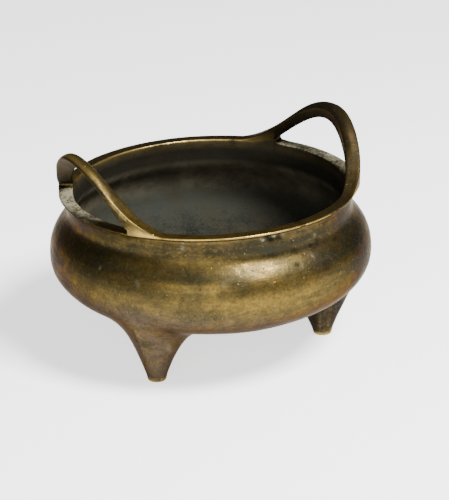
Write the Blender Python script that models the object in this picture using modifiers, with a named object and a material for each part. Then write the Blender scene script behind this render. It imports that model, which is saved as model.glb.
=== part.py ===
"""Bronze tripod incense burner, cast in one piece.

A low round-bellied bowl with a drawn-in neck and a turned-out lip, three short conical feet that
flow out of the belly, and two loop handles that rise out of the lip on opposite sides.

Metres, +Z up. The origin is on the bowl's axis, on the surface that the feet stand on. The handles
are on +X and -X, and one foot is just past +Y.
"""
import math

import bmesh
import bpy
from mathutils import Vector

for old in list(bpy.data.objects):
    bpy.data.objects.remove(old, do_unlink=True)

# Bowl, outside
BELLY_RADIUS = 0.0800         # widest part of the belly
BELLY_HEIGHT = 0.0495         # height of the widest part
UNDERSIDE_HEIGHT = 0.0218     # lowest point of the bowl, on its axis
UNDERSIDE_FLATNESS = 0.0540   # how far out the underside keeps nearly flat
BELLY_FULLNESS = 0.0190       # how upright the belly is below its widest part
SHOULDER_FULLNESS = 0.0150    # how upright the belly is above its widest part
NECK_RADIUS = 0.0704          # narrowest part, under the lip
NECK_DEPTH = 0.0097           # from the lip's top down to the narrowest part
NECK_SOFTNESS = 0.0062        # how gently the shoulder turns up into the neck

# Lip, and the wall behind it
LIP_RADIUS = 0.0712           # outer edge of the lip, midway between the handles
LIP_HEIGHT = 0.0822           # top of the lip
LIP_EDGE = 0.0016             # depth of the lip's outer edge, which is half round
LIP_WIDTH = 0.0065            # top of the lip, from its outer edge to the mouth
LIP_OVAL = 0.0026             # how much further out the lip is under the handles
WALL = 0.0042                 # thickness of the bowl's wall
FLOOR_THICKNESS = 0.0052      # thickness of the bowl's bottom, on its axis
CUT_THROUGH = 0.0020          # how far the hollow's cutter stands out of the mouth

# Feet
FOOT_COUNT = 3
FOOT_INSET = 0.0243           # from the belly's widest part in to the axis of each foot
FOOT_BASE_RADIUS = 0.0047     # flat underside of a foot
FOOT_EDGE = 0.0005            # bevel round the flat underside
FOOT_TURN = math.radians(4)   # how far round the feet stand from square to the handles
FOOT_TAPER = math.radians(20)  # how far a foot's side leans from upright at its base
FOOT_FLARE_CLEAR = 0.0008     # from where it has run into the belly's side out to the widest part
FOOT_FLARE_IN = 0.0240        # from a foot's axis to where it has run into the underside
FOOT_ROOT = 0.0014            # how deep the flare ends inside the bowl's wall

# Handles
HANDLE_RISE = 0.0286          # from the lip's top to the crown's top
HANDLE_PROUD = 0.0012         # how far the handle stands outside the lip's outer edge
CROWN_THICKNESS = 0.0080      # on the crown's inner side, from its top line to the gap under it
CROWN_EDGE = 0.0030           # the same, on its outer side
CROWN_DROP_IN = 0.0024        # how much lower than its middle the crown's top is on its inner side
CROWN_DROP_OUT = 0.0016       # the same, on its outer side
LEG_THICKNESS = 0.0046        # where a leg comes out of the lip, from its top to the gap under it
STOUT_LEG_THICKNESS = 0.0057  # the same, on the right handle's back leg
STRAP_INSET = 0.0004          # how far the handle's ends keep inside the lip's outer edge
STRAP_CLEAR = 0.0002          # how far the handle keeps outside the mouth
STRAP_GROWTH = 0.40           # share of the rise over which it widens to its full width
STRAP_SINK = 0.0011           # how deep a handle sits in the lip before its gap opens
STRAP_ROUNDING = 0.40         # corner radius as a share of the strap's half thickness

# Which way each handle faces and its two legs, first the one it has before its crown, going round
# from +X to +Y. Of a leg, in degrees: how far from the crown it starts to leave the lip, how long it
# stays low there, and how wide the crown is on its side; then how thick it is where it starts.
RIGHT_HANDLE = (1.2, (50.0, 20.0, 19.0, LEG_THICKNESS), (52.0, 21.5, 22.5, STOUT_LEG_THICKNESS))
LEFT_HANDLE = (182.0, (47.7, 21.0, 18.0, LEG_THICKNESS), (47.5, 20.0, 20.5, LEG_THICKNESS))

# Fineness of the turned and swept surfaces
TURN_STEPS = 68
FOOT_SIDES = 24
FOOT_STATIONS = 9
STRAP_STATIONS = 36
STRAP_CORNER_STEPS = 2

NECK_HEIGHT = LIP_HEIGHT - NECK_DEPTH
FOOT_CIRCLE = BELLY_RADIUS - FOOT_INSET
FOOT_FLARE_OUT = FOOT_INSET - FOOT_FLARE_CLEAR
FOOT_START = math.pi / 2 + FOOT_TURN

BRONZE = (0.155, 0.105, 0.048)


def bezier(a, b, c, d, steps):
    """Points of a cubic curve from a to d."""
    points = []
    for i in range(steps + 1):
        t = i / steps
        s = 1.0 - t
        points.append(tuple(s ** 3 * p + 3 * s * s * t * q + 3 * s * t * t * r + t ** 3 * w
                            for p, q, r, w in zip(a, b, c, d)))
    return points


def arc(centre, radius, start, end, steps):
    """Points of a circular arc in the profile's plane, angles in radians from the radial direction."""
    angles = [start + (end - start) * i / steps for i in range(steps + 1)]
    return [(centre[0] + radius * math.cos(a), centre[1] + radius * math.sin(a)) for a in angles]


def belly_side(steps):
    """Outer wall from the neck down to the widest part."""
    return bezier((NECK_RADIUS, NECK_HEIGHT), (NECK_RADIUS, NECK_HEIGHT - NECK_SOFTNESS),
                  (BELLY_RADIUS, BELLY_HEIGHT + SHOULDER_FULLNESS), (BELLY_RADIUS, BELLY_HEIGHT), steps)


def belly_underside(steps):
    """Outer wall from the widest part down to the axis."""
    return bezier((BELLY_RADIUS, BELLY_HEIGHT), (BELLY_RADIUS, BELLY_HEIGHT - BELLY_FULLNESS),
                  (UNDERSIDE_FLATNESS, UNDERSIDE_HEIGHT), (0.0, UNDERSIDE_HEIGHT), steps)


def underside_at(radius):
    """Height and slope (rise per metre outwards) of the underside at a distance from the axis."""
    curve = belly_underside(400)
    for (r0, z0), (r1, z1) in zip(curve, curve[1:]):
        if r1 <= radius <= r0:
            share = (r0 - radius) / (r0 - r1)
            return z0 + (z1 - z0) * share, (z0 - z1) / (r0 - r1)
    return BELLY_HEIGHT, 10.0


def offset_inwards(points, first, last):
    """Points moved to the inner side of the wall, by a thickness that changes along the way."""
    moved = []
    for i, (r, z) in enumerate(points):
        before = points[max(i - 1, 0)]
        after = points[min(i + 1, len(points) - 1)]
        along = Vector((after[0] - before[0], after[1] - before[1])).normalized()
        depth = first + (last - first) * i / (len(points) - 1)
        moved.append((max(r + along.y * depth, 0.0), z - along.x * depth))
    return moved


def turned(name, profile, collection):
    """A solid turned from a profile that runs down its outer side, made a plain mesh."""
    mesh = bpy.data.meshes.new(name + "_profile")
    mesh.from_pydata([(r, 0.0, z) for r, z in profile], [(i, i + 1) for i in range(len(profile) - 1)], [])
    blank = bpy.data.objects.new(name + "_profile", mesh)
    collection.objects.link(blank)
    screw = blank.modifiers.new("turn", "SCREW")
    screw.axis = "Z"
    screw.steps = TURN_STEPS
    screw.render_steps = TURN_STEPS
    screw.use_merge_vertices = True
    screw.merge_threshold = 0.00001
    solid = bpy.data.objects.new(name, baked(blank))
    collection.objects.link(solid)
    bpy.data.objects.remove(blank)
    return solid


def baked(thing):
    """The mesh of an object as its modifiers leave it."""
    graph = bpy.context.evaluated_depsgraph_get()
    graph.update()
    return bpy.data.meshes.new_from_object(thing.evaluated_get(graph))


def ease(share):
    """A share from 0 to 1 with a soft start and end."""
    share = min(max(share, 0.0), 1.0)
    return share * share * (3.0 - 2.0 * share)


def lip_pull(angle, height):
    """How far out the lip is drawn at an angle from the handles' axis, fading to nothing at the neck."""
    return LIP_OVAL * math.cos(angle) ** 2 * ease((height - NECK_HEIGHT) / (LIP_HEIGHT - NECK_HEIGHT))


def draw_out_lip(mesh):
    """Makes the turned lip slightly oval along the handles' axis."""
    for vertex in mesh.vertices:
        radius = math.hypot(vertex.co.x, vertex.co.y)
        if radius > NECK_RADIUS / 2:
            angle = math.atan2(vertex.co.y, vertex.co.x)
            scale = 1.0 + lip_pull(angle, vertex.co.z) / radius
            vertex.co.x *= scale
            vertex.co.y *= scale


def loft(name, rings, collection):
    """A closed solid through rings of points that all have as many points."""
    form = bmesh.new()
    loops = [[form.verts.new(point) for point in ring] for ring in rings]
    count = len(rings[0])
    for lower, upper in zip(loops, loops[1:]):
        for i in range(count):
            j = (i + 1) % count
            form.faces.new((lower[i], lower[j], upper[j], upper[i]))
    form.faces.new(list(reversed(loops[0])))
    form.faces.new(loops[-1])
    bmesh.ops.recalc_face_normals(form, faces=form.faces)
    mesh = bpy.data.meshes.new(name)
    form.to_mesh(mesh)
    form.free()
    solid = bpy.data.objects.new(name, mesh)
    collection.objects.link(solid)
    return solid


def foot(name, angle, collection):
    """A conical foot whose sides flare into the belly, nearly flat on the underside, steep outside."""
    outward = Vector((math.cos(angle), math.sin(angle), 0.0))
    sideways = Vector((-outward.y, outward.x, 0.0))
    axis = outward * FOOT_CIRCLE
    sides = []
    for i in range(FOOT_SIDES):
        turn = 2 * math.pi * i / FOOT_SIDES
        away = outward * math.cos(turn) + sideways * math.sin(turn)
        flare = (FOOT_FLARE_OUT + FOOT_FLARE_IN) / 2 + (FOOT_FLARE_OUT - FOOT_FLARE_IN) / 2 * math.cos(turn)
        top = axis + away * flare
        height, slope = underside_at(top.length)
        outwards_there = top.normalized()
        normal = Vector((outwards_there.x * slope, outwards_there.y * slope, -1.0)).normalized()
        top.z = height
        top -= normal * FOOT_ROOT
        base = axis + away * FOOT_BASE_RADIUS
        base.z = FOOT_EDGE
        reach = (top - base).length
        along = away - normal * away.dot(normal)
        up = Vector((0.0, 0.0, 1.0)) * math.cos(FOOT_TAPER) + away * math.sin(FOOT_TAPER)
        lower = base + up * reach * 0.42
        upper = top - along.normalized() * reach * 0.30
        sole = axis + away * (FOOT_BASE_RADIUS - FOOT_EDGE)
        sides.append([sole] + [Vector(p) for p in bezier(base, lower, upper, top, FOOT_STATIONS)])
    return loft(name, [[side[k] for side in sides] for k in range(FOOT_STATIONS + 2)], collection)


def strap_section(width, inner_depth, outer_depth, drop_in, drop_out):
    """A strap's section, as (across, depth under its top line) pairs round it.

    It is a rectangle with rounded corners, drawn thin towards its outer side, and its top falls off
    from the middle to both sides."""
    corner = min(width, inner_depth) / 2 * STRAP_ROUNDING
    outline = []
    for quarter, (sx, sy) in enumerate(((1, 1), (-1, 1), (-1, -1), (1, -1))):
        for i in range(STRAP_CORNER_STEPS + 1):
            a = math.pi / 2 * (quarter + i / STRAP_CORNER_STEPS)
            outline.append((sx * (width / 2 - corner) + corner * math.cos(a),
                            sy * (inner_depth / 2 - corner) + corner * math.sin(a)))
        if quarter == 0:
            outline.append((0.0, inner_depth / 2))
    points = []
    for across, up in outline:
        side = 2 * across / width
        top = drop_in * max(-side, 0.0) ** 2 + drop_out * max(side, 0.0) ** 2
        bottom = inner_depth + (outer_depth - inner_depth) * (1 + side) / 2
        points.append((across, top + (bottom - top) * (0.5 - up / inner_depth)))
    return points


def leg_path(leg, side):
    """One leg's top line up to the crown, as (turn from the crown, rise, thickness at its start)."""
    span, ramp, crown = (math.radians(turn) * side for turn in leg[:3])
    curve = bezier((span, 0.0), (span - ramp, 0.0), (crown, HANDLE_RISE), (0.0, HANDLE_RISE), STRAP_STATIONS // 2)
    return [(turn, rise, leg[3]) for turn, rise in curve]


def handle(name, facing, leg_before, leg_after, collection):
    """A loop that leaves the lip at a slight slope, rises to its crown and comes down on its far side."""
    facing = math.radians(facing)
    path = leg_path(leg_after, 1) + leg_path(leg_before, -1)[-2::-1]
    middle_radius = LIP_RADIUS - LIP_WIDTH / 2
    inner = LIP_RADIUS - LIP_WIDTH + STRAP_CLEAR
    rings = []
    for i, (turn, rise, start_thickness) in enumerate(path):
        before = path[max(i - 1, 0)]
        after = path[min(i + 1, len(path) - 1)]
        slope = Vector(((before[0] - after[0]) * middle_radius, after[1] - before[1])).normalized()
        share = rise / HANDLE_RISE
        past_opening = share - (start_thickness - STRAP_SINK) / HANDLE_RISE
        outer = LIP_RADIUS - STRAP_INSET + (HANDLE_PROUD + STRAP_INSET) * ease(share / STRAP_GROWTH)
        centre = (inner + outer) / 2 + LIP_OVAL * math.cos(facing + turn) ** 2
        full = start_thickness + (CROWN_THICKNESS - start_thickness) * ease(share)
        inner_depth = min(full, rise + STRAP_SINK)
        outer_depth = inner_depth + (CROWN_EDGE - inner_depth) * ease(past_opening / 0.5)
        drop = ease(past_opening / 0.6)
        ring = []
        for across, sink in strap_section(outer - inner, inner_depth, outer_depth,
                                          CROWN_DROP_IN * drop, CROWN_DROP_OUT * drop):
            angle = facing + turn - slope.y * sink / middle_radius
            height = LIP_HEIGHT - STRAP_INSET * (1.0 - share) + rise - slope.x * sink
            radius = centre + across
            ring.append(Vector((radius * math.cos(angle), radius * math.sin(angle), height)))
        rings.append(ring)
    return loft(name, rings, collection)


parts = bpy.data.collections.new("incense_burner")
tools = bpy.data.collections.new("joined_and_cut")
bpy.context.scene.collection.children.link(parts)
bpy.context.scene.collection.children.link(tools)

# The bowl starts solid, with its lip, neck and belly turned from one profile.
edge = LIP_EDGE / 2
lip_top = [(0.0, LIP_HEIGHT)]
lip_edge = arc((LIP_RADIUS - edge, LIP_HEIGHT - edge), edge, math.pi / 2, -math.pi / 2, 4)
under_lip = bezier((LIP_RADIUS - edge, LIP_HEIGHT - LIP_EDGE), (LIP_RADIUS - 2 * edge, LIP_HEIGHT - LIP_EDGE - edge),
                   (NECK_RADIUS, (LIP_HEIGHT + NECK_HEIGHT) / 2), (NECK_RADIUS, NECK_HEIGHT), 3)
outside = lip_top + lip_edge + under_lip[1:] + belly_side(8)[1:] + belly_underside(10)[1:]
bowl = turned("incense_burner", outside, parts)
draw_out_lip(bowl.data)

# The hollow follows the outer wall, a wall's thickness further in, up to the mouth.
mouth = LIP_RADIUS - LIP_WIDTH
inside_wall = offset_inwards(belly_side(6), WALL, WALL)
inside_floor = offset_inwards(belly_underside(8), WALL, FLOOR_THICKNESS)
above = LIP_HEIGHT + CUT_THROUGH
open_mouth = [(0.0, above), (mouth, above), (mouth, LIP_HEIGHT - LIP_EDGE)]
hollow = turned("hollow", open_mouth + inside_wall + inside_floor[1:-1] + [(0.0, inside_floor[-1][1])], tools)
draw_out_lip(hollow.data)

# Feet and handles are cast with the bowl, so they join it before it is hollowed.
joined = [foot("foot_%d" % (i + 1), FOOT_START + 2 * math.pi * i / FOOT_COUNT, tools) for i in range(FOOT_COUNT)]
joined += [handle("handle_right", *RIGHT_HANDLE, tools), handle("handle_left", *LEFT_HANDLE, tools)]
for piece in joined:
    join = bowl.modifiers.new("join_" + piece.name, "BOOLEAN")
    join.operation = "UNION"
    join.solver = "EXACT"
    join.object = piece
cut = bowl.modifiers.new("hollow_out", "BOOLEAN")
cut.operation = "DIFFERENCE"
cut.solver = "EXACT"
cut.object = hollow
for helper in joined + [hollow]:
    helper.hide_render = True
    helper.display_type = "WIRE"

bronze = bpy.data.materials.new("bronze")
bronze.use_nodes = True
shader = bronze.node_tree.nodes["Principled BSDF"]
shader.inputs["Base Color"].default_value = (*BRONZE, 1.0)
shader.inputs["Metallic"].default_value = 0.85
shader.inputs["Roughness"].default_value = 0.42
for solid in [bowl] + joined + [hollow]:
    solid.data.materials.append(bronze)
    solid.data.shade_smooth()
    solid.data.set_sharp_from_angle(angle=math.radians(40))
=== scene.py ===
"""Bronze tripod incense burner with two loop handles, on a pale table in soft studio light."""
import math

import bpy
import numpy as np
from mathutils import Matrix, Vector


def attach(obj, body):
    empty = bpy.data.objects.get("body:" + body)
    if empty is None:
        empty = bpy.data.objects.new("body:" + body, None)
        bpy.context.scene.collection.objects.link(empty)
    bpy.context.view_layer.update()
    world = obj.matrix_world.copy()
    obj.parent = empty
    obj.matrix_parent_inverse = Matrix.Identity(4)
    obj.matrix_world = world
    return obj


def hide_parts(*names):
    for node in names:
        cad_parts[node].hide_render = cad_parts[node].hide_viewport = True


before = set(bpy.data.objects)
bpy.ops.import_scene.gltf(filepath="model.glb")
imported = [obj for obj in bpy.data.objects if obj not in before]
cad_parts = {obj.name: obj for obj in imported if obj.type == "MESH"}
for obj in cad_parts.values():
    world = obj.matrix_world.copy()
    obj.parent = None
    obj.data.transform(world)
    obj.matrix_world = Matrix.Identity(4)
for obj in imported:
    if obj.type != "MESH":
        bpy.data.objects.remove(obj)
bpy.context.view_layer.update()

# The bowl: cast bronze, a low round belly with a drawn-in neck and a turned-out lip, about 4 mm
# thick. Its section is one line from the middle of the hollow up over the lip and down outside.
BELLY_RADIUS = 0.0800
BELLY_HEIGHT = 0.0495
UNDERSIDE_HEIGHT = 0.0218
UNDERSIDE_FLATNESS = 0.0540
BELLY_FULLNESS = 0.0190
SHOULDER_FULLNESS = 0.0150
NECK_RADIUS = 0.0704
NECK_HEIGHT = 0.0725
NECK_SOFTNESS = 0.0062
LIP_RADIUS = 0.0712
LIP_HEIGHT = 0.0822
LIP_EDGE = 0.0016
LIP_WIDTH = 0.0065
LIP_OVAL = 0.0026
MOUTH_RADIUS = LIP_RADIUS - LIP_WIDTH
MOUTH_ROUNDING = 0.0011
WALL = 0.0042
FLOOR_THICKNESS = 0.0052

FOOT_CIRCLE = 0.0557
FOOT_REACH = 39
ROWS_OVER_LIP = 24
UPPER_ROWS = 27
MIDDLE_ROWS = 14
INSIDE_ROWS = 56
GAP_COLUMNS = 98
SIDE_COLUMNS = 102
LINE_POINTS = 400
BELLY_ROWS_FROM = 0.0550
UNDERSIDE_ROWS_TO = 0.0220
MOUTH_CURVE_HEIGHT = 0.0765
MOUTH_CURVE_REACH = 0.0022
HALF_CIRCLE = math.pi
FULL_CIRCLE = 2 * math.pi


def bend(a, b, c, d, share):
    """A cubic curve from a to d, drawn towards b and then c, at the given shares of the way."""
    t = np.asarray(share)[:, None]
    a, b, c, d = (np.array(point, float) for point in (a, b, c, d))
    return (1 - t) ** 3 * a + 3 * (1 - t) ** 2 * t * b + 3 * (1 - t) * t ** 2 * c + t ** 3 * d


def ease(share):
    """Rises from 0 to 1 with a soft start and end: 3 s^2 - 2 s^3, held outside that range."""
    share = np.clip(share, 0.0, 1.0)
    return share * share * (3.0 - 2.0 * share)


def travelled(line):
    """Distance along a line of points, from its first."""
    return np.concatenate([[0.0], np.cumsum(np.linalg.norm(np.diff(line, axis=0), axis=1))])


def spaced(line, count):
    """The line's points at count + 1 even distances."""
    gone = travelled(line)
    wanted = np.linspace(0.0, gone[-1], count + 1)
    return np.stack([np.interp(wanted, gone, line[:, k]) for k in range(line.shape[1])], axis=1)


def piece_of(line, start, end):
    """The stretch of a line between two of its points, given as indices."""
    return line[start:end + 1]


fine = np.linspace(0.0, 1.0, LINE_POINTS)
widest = LINE_POINTS - 1
side_line = bend((NECK_RADIUS, NECK_HEIGHT), (NECK_RADIUS, NECK_HEIGHT - NECK_SOFTNESS),
                 (BELLY_RADIUS, BELLY_HEIGHT + SHOULDER_FULLNESS), (BELLY_RADIUS, BELLY_HEIGHT), fine)
under_line = bend((BELLY_RADIUS, BELLY_HEIGHT), (BELLY_RADIUS, BELLY_HEIGHT - BELLY_FULLNESS),
                  (UNDERSIDE_FLATNESS, UNDERSIDE_HEIGHT), (0.0, UNDERSIDE_HEIGHT), fine)
outer_line = np.concatenate([side_line, under_line[1:]])

along = np.gradient(outer_line, axis=0)
along /= np.linalg.norm(along, axis=1)[:, None]
depth = np.interp(np.arange(len(outer_line)), [0, widest, len(outer_line) - 1],
                  [WALL, WALL, FLOOR_THICKNESS])
inner_line = outer_line + np.stack([along[:, 1], -along[:, 0]], axis=1) * depth[:, None]
inner_line[:, 0] = np.maximum(inner_line[:, 0], 0.0)

# Outside, going down: the lower part of the half-round lip edge, the hollow under it, the belly and
# the underside.
edge = LIP_EDGE / 2
quarter = np.linspace(-0.15, -np.pi / 2, 4)
lip_edge_line = np.stack([LIP_RADIUS - edge + edge * np.cos(quarter),
                          LIP_HEIGHT - edge + edge * np.sin(quarter)], 1)
under_lip_line = bend((LIP_RADIUS - edge, LIP_HEIGHT - LIP_EDGE),
                      (LIP_RADIUS - 2 * edge, LIP_HEIGHT - LIP_EDGE - edge),
                      (NECK_RADIUS, (LIP_HEIGHT + NECK_HEIGHT) / 2), (NECK_RADIUS, NECK_HEIGHT), fine)
belly_top = int(np.argmax(side_line[:, 1] < BELLY_ROWS_FROM))
foot_point = widest + int(np.argmax(under_line[:, 0] < FOOT_CIRCLE))
middle_point = widest + int(np.argmax(under_line[:, 0] < UNDERSIDE_ROWS_TO))
upper_rows = spaced(np.concatenate([under_lip_line, outer_line[1:belly_top + 1]]), UPPER_ROWS)
belly_rows = spaced(piece_of(outer_line, belly_top, foot_point), FOOT_REACH)
under_rows = spaced(piece_of(outer_line, foot_point, middle_point), FOOT_REACH)
middle_rows = spaced(piece_of(outer_line, middle_point, len(outer_line) - 1), MIDDLE_ROWS)
outside_rows = np.concatenate([lip_edge_line, upper_rows[1:], belly_rows[1:], under_rows[1:],
                               middle_rows[1:-1]])
foot_row = len(lip_edge_line) + len(upper_rows) - 1 + FOOT_REACH - 1

# Inside, going up: bottom, wall, the drawn-in neck and the mouth's upright edge.
inside_top = bend(inner_line[0], inner_line[0] + (0.0, MOUTH_CURVE_REACH), (MOUTH_RADIUS, MOUTH_CURVE_HEIGHT),
                  (MOUTH_RADIUS, LIP_HEIGHT - MOUTH_CURVE_REACH), np.linspace(0, 1, 100))
inside_line = np.concatenate([inner_line[::-1], inside_top[1:]])
inside_rows = spaced(inside_line, INSIDE_ROWS)[1:]

# Columns round the bowl, closer together where the handles' gaps end.
END_STEP = 0.24
STEP_GROWTH = 0.11


def closer_at_ends(count):
    """Shares from 0 to 1 whose steps shrink in equal stages towards both ends."""
    steps = np.minimum(np.arange(count), np.arange(count)[::-1])
    steps = np.minimum(END_STEP + STEP_GROWTH * steps, 1.0)
    return np.concatenate([[0.0], np.cumsum(steps)]) / steps.sum()


# The handles: cast with the bowl. Each rises out of the lip at a slight slope, widens into a strap
# that is thick along its inner side and thin along its outer edge, turns over at its crown and
# comes down the same way; the lip runs on under it. No two of the four legs are quite alike.
HANDLE_RISE = 0.0286
HANDLE_PROUD = 0.0012
LIP_PROUD = 0.0007
CROWN_THICKNESS = 0.0080
CROWN_EDGE = 0.0030
CROWN_DROP_IN = 0.0024
CROWN_DROP_OUT = 0.0016
STRAP_INSET = 0.0004
STRAP_GROWTH = 0.40
STRAP_ROUND = 0.0009
GAP_END_RADIUS = 0.0011
GAP_FLOOR_FADE = 0.006
LIP_PROUD_FADE = 0.005
PROUD_FROM = 0.0775
PROUD_WITHIN = 0.0035
MOUTH_EDGE_DEPTH = 1.15 * MOUTH_ROUNDING
INSIDE_CLEAR = 0.00035
INSIDE_LIFT_FROM = 0.0740
CLOSER_FROM = 0.0560
CLOSER_CLEAR = 0.0040
EDGE_GROWTH = 0.50
DOME_GROWTH = 0.6
LEAST_ROUND = 1e-7
STRAP_STATIONS = 84
MIDDLE_RADIUS = LIP_RADIUS - LIP_WIDTH / 2

# For each handle: where it faces, and for its leg before and after the crown, in degrees, how far
# its foot is from the crown, how long it stays low, and how wide the crown is on that side, then
# how thick the leg is at its foot.
HANDLES = ((1.2, (50.0, 20.0, 19.0, 0.0046), (52.0, 21.5, 22.5, 0.0057)),
           (182.0, (47.7, 21.0, 18.0, 0.0046), (47.5, 20.0, 20.5, 0.0046)))


def leg_lines(span, ramp, crown, foot_thickness):
    """One leg from its foot to the crown: distance to the crown and height of its top line, and the
    same for its underside, which lies square below the top by the leg's thickness.

    The gap under it ends in a small round, which touches the lip below and the underside above."""
    path = bend((span, 0.0), (span - ramp, 0.0), (crown, HANDLE_RISE), (0.0, HANDLE_RISE), fine)
    away = np.radians(path[:, 0]) * MIDDLE_RADIUS
    share = path[:, 1] / HANDLE_RISE
    top = np.maximum(path[:, 1] - STRAP_INSET * (1.0 - share), 0.0)
    heading = np.stack([-np.gradient(away), np.gradient(path[:, 1])], axis=1)
    heading /= np.linalg.norm(heading, axis=1)[:, None]
    down = np.stack([-heading[:, 1], -heading[:, 0]], axis=1)
    deep = foot_thickness + (CROWN_THICKNESS - foot_thickness) * ease(share)
    top_line = np.stack([away, top], axis=1)
    under = top_line + down * deep[:, None]
    centres = under + down * GAP_END_RADIUS
    start = int(np.argmax(centres[:, 1] > GAP_END_RADIUS))
    centre = centres[start, 0]
    lean = math.atan2(heading[start, 1], heading[start, 0])
    turn = np.linspace(HALF_CIRCLE, HALF_CIRCLE / 2 + lean, 12)
    end_round = np.stack([centre - GAP_END_RADIUS * np.cos(turn), GAP_END_RADIUS * (1 + np.sin(turn))], 1)
    gap_away = centre + GAP_END_RADIUS
    first = int(np.argmax(away < gap_away))
    end_top = np.interp(-gap_away, -away, top)
    return {"away": away, "share": share, "top": top, "gap_away": gap_away, "end_top": end_top,
            "top_line": np.concatenate([[[gap_away, end_top]], top_line[first:]]),
            "under_line": np.concatenate([end_round, under[start + 1:]])}


def joined_at_crown(before, after):
    """The first leg's line up to the crown, then the second's back down from it."""
    return np.concatenate([before * (-1.0, 1.0), after[::-1][1:]])


def at_shares(line, shares):
    """The line's points at the given shares of its length."""
    gone = travelled(line)
    return np.stack([np.interp(shares * gone[-1], gone, line[:, k]) for k in range(2)], axis=1)


def over(inner, outer, top, start_in, start_out, round_in, round_out, shares):
    """A section over a bar: up its inner side, round, across, round and down its outer side.

    Each of the five stretches adds its own part of the way; the rounds count twice, so that
    points gather there. Returns radius and height, one row for each bar."""
    inner, outer, top, start_in, start_out, round_in, round_out = (
        np.broadcast_to(np.asarray(value, float), np.shape(top))[:, None] + 0.0
        for value in (inner, outer, top, start_in, start_out, round_in, round_out))
    round_in = np.maximum(round_in, LEAST_ROUND)
    round_out = np.maximum(round_out, LEAST_ROUND)
    stretches = [np.maximum(top - round_in - start_in, 0), np.pi * round_in,
                 np.maximum(outer - inner - round_in - round_out, 0), np.pi * round_out,
                 np.maximum(top - round_out - start_out, 0)]
    way = np.asarray(shares)[None, :] * sum(stretches)
    parts = []
    for stretch in stretches:
        parts.append(np.clip(way, 0, stretch))
        way = way - stretch
    up, first, across, second, down = parts
    first = first / 2 / round_in
    second = second / 2 / round_out
    radius = inner + round_in * (1 - np.cos(first)) + across + round_out * np.sin(second)
    height = np.minimum(start_in, top - round_in) + up + round_in * np.sin(first)
    height = height - round_out * (1 - np.cos(second)) - down
    return radius, height


def lip_pull(angle, height):
    """How far the lip is drawn out towards the handles: cos^2 of the angle, fading to the neck."""
    return LIP_OVAL * np.cos(angle) ** 2 * ease((height - NECK_HEIGHT) / (LIP_HEIGHT - NECK_HEIGHT))


# Columns: the gap under the right handle, the back, the gap under the left handle, the front.
legs = [[leg_lines(*spec) for spec in handle[1:]] for handle in HANDLES]
crowns = [math.radians(handle[0]) for handle in HANDLES]
gap_angles = [(crown - pair[0]["gap_away"] / MIDDLE_RADIUS, crown + pair[1]["gap_away"] / MIDDLE_RADIUS)
              for crown, pair in zip(crowns, legs)]
segments = [(*gap_angles[0], GAP_COLUMNS), (gap_angles[0][1], gap_angles[1][0], SIDE_COLUMNS),
            (*gap_angles[1], GAP_COLUMNS), (gap_angles[1][1], gap_angles[0][0] + FULL_CIRCLE, SIDE_COLUMNS)]
even_angle = np.concatenate([np.linspace(low, high, count + 1)[:-1] for low, high, count in segments])
close_angle = np.concatenate([low + (high - low) * closer_at_ends(count)[:-1]
                              for low, high, count in segments])
column_count = len(even_angle)
gap_ends = np.cumsum([0, GAP_COLUMNS, SIDE_COLUMNS, GAP_COLUMNS])
in_gap = np.zeros(column_count, bool)
in_gap[:GAP_COLUMNS + 1] = True
in_gap[gap_ends[2]:gap_ends[3] + 1] = True

# Each column's distance past the gap's end of the leg that it belongs to, and its height there.
into_gap = np.zeros(column_count)
raised = np.zeros(column_count)
climb = np.zeros(column_count)
share_here = np.zeros(column_count)
for crown, pair in zip(crowns, legs):
    offset = (close_angle - crown + HALF_CIRCLE) % FULL_CIRCLE - HALF_CIRCLE
    for leg, side in zip(pair, (-1, 1)):
        mine = (offset * side > 0) & (np.abs(offset) < np.pi / 2)
        away = np.abs(offset[mine]) * MIDDLE_RADIUS
        into_gap[mine] = leg["gap_away"] - away
        raised[mine] = np.interp(-away, -leg["away"], leg["top"])
        share_here[mine] = np.interp(-away, -leg["away"], leg["share"])
        climb[mine] = ease(raised[mine] / leg["end_top"])
floor_height = GAP_END_RADIUS - np.sqrt(np.maximum(
    GAP_END_RADIUS ** 2 - (GAP_END_RADIUS - np.clip(into_gap, 0, GAP_END_RADIUS)) ** 2, 0))
floor_softness = ease(into_gap / GAP_FLOOR_FADE)
top_height = LIP_HEIGHT + np.where(in_gap, floor_height, raised)
softness_in = np.where(in_gap, MOUTH_ROUNDING * floor_softness, MOUTH_ROUNDING)
softness_out = np.where(in_gap, edge * floor_softness, edge + (STRAP_ROUND - edge) * climb)
start_in = np.where(in_gap, top_height - softness_in,
                    LIP_HEIGHT - MOUTH_EDGE_DEPTH + (MOUTH_EDGE_DEPTH + GAP_END_RADIUS) * climb)
start_out = np.where(in_gap, top_height - softness_out,
                     LIP_HEIGHT - edge + (edge + GAP_END_RADIUS) * climb)
start_in = np.where(in_gap, start_in, np.minimum(start_in, top_height - softness_in))
start_out = np.where(in_gap, start_out, np.minimum(start_out, top_height - softness_out))
pull_here = LIP_OVAL * np.cos(close_angle) ** 2
leg_proud = HANDLE_PROUD * ease(share_here / STRAP_GROWTH)
proud_in_gap = LIP_PROUD + (leg_proud - LIP_PROUD) * (1 - ease(into_gap / LIP_PROUD_FADE))
proud_here = np.where(in_gap, proud_in_gap, leg_proud)
inner_radius = MOUTH_RADIUS + pull_here
outer_radius = LIP_RADIUS + pull_here + proud_here
shares_over = np.linspace(0.0, 1.0, ROWS_OVER_LIP + 1)
top_r, top_z = over(inner_radius, outer_radius, top_height, start_in, start_out, softness_in,
                    softness_out, shares_over)

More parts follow.
